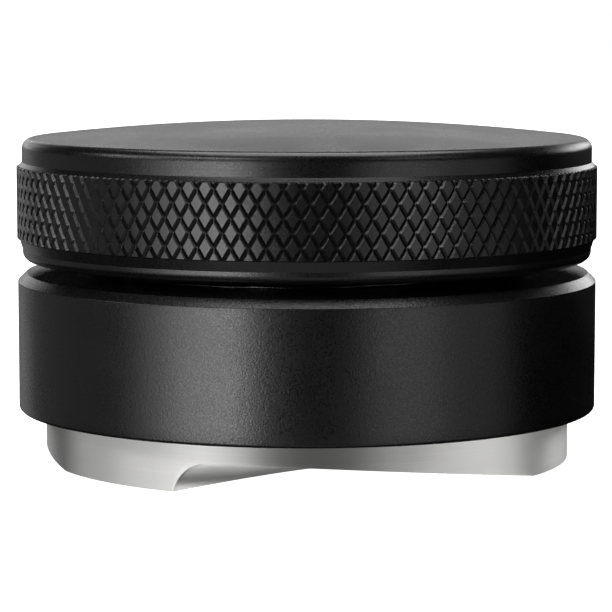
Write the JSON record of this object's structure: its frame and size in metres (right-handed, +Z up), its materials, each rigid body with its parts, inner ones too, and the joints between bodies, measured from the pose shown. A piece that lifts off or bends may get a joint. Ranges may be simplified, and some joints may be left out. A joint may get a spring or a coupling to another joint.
{
  "type": "coffee distributor",
  "caption": "Palm-held coffee distributor: a knurled domed cap on a ramped stainless base, with a screw collar that sets how deep the blades reach into the filter basket.",
  "frame": {"origin": "on the axis, at the level of the blades' flat lands, bottom centre of the bounding box", "axes": "+Z up along the axis from the blades to the domed cap; -Y faces the viewer of the front side"},
  "size_m": [0.064, 0.064, 0.0369],
  "materials": {
    "anodised": "black anodised, fine bead-blasted satin",
    "stainless": "finely turned satin",
    "zinc_steel": "zinc plated",
    "rubber": "matt black rubber",
    "nylon": "matt black nylon"
  },
  "bodies": {
    "handle": {"palm_cap": "anodised", "core_hub": "anodised", "blade_base": "stainless", "base_stud": "zinc_steel", "stud_lock_washer": "zinc_steel", "stop_washer": "nylon", "wiper_seal": "rubber", "cap_screw_1": "zinc_steel", "screw_lock_washer_1": "zinc_steel", "cap_screw_2": "zinc_steel", "screw_lock_washer_2": "zinc_steel", "cap_screw_3": "zinc_steel", "screw_lock_washer_3": "zinc_steel", "cap_screw_4": "zinc_steel", "screw_lock_washer_4": "zinc_steel"},
    "ring_carrier": {"friction_ring": "rubber"},
    "collar": {"depth_collar": "anodised"}
  },
  "joints": [
    {"name": "collar_travel", "type": "slide", "parent": "handle", "child": "ring_carrier", "axis": [0, 0, 1], "range_m": [-0.003, 0.00055]},
    {"name": "collar_turn", "type": "hinge", "parent": "ring_carrier", "child": "collar", "pos_m": [0, 0, 0.013], "axis": [0, 0, 1], "range_deg": [-720, 132]}
  ],
  "couplings": [
    {"joint": "collar_travel", "follows": "collar_turn", "m_per_rad": 0.00023873}
  ]
}
